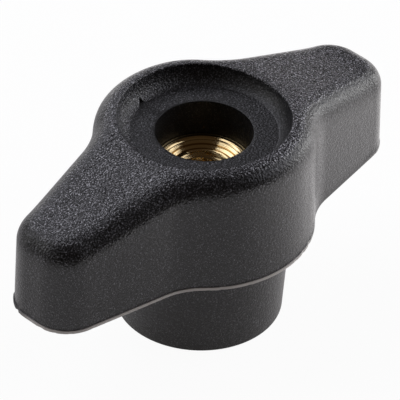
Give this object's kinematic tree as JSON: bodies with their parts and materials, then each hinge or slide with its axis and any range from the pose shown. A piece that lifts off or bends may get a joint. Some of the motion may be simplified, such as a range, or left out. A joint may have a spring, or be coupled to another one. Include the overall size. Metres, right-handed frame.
{
  "type": "wing knob",
  "caption": "Moulded wing knob for clamping: a long wing either side of a round hub with an open cap seat, and a tapped brass insert through its boss.",
  "frame": {"origin": "middle of the seat face, which is the flat end of the boss that presses on the work", "axes": "+Z along the thread axis, from the seat face up to the cap seat; X along the two wings"},
  "size_m": [0.06, 0.0292, 0.0296],
  "materials": {
    "moulded_plastic": "glass-filled plastic from a spark-eroded mould, fine grain",
    "turned_brass": "turned, with fine concentric tool marks"
  },
  "bodies": {
    "root": {"knob_body": "moulded_plastic", "threaded_insert": "turned_brass"}
  },
  "joints": []
}
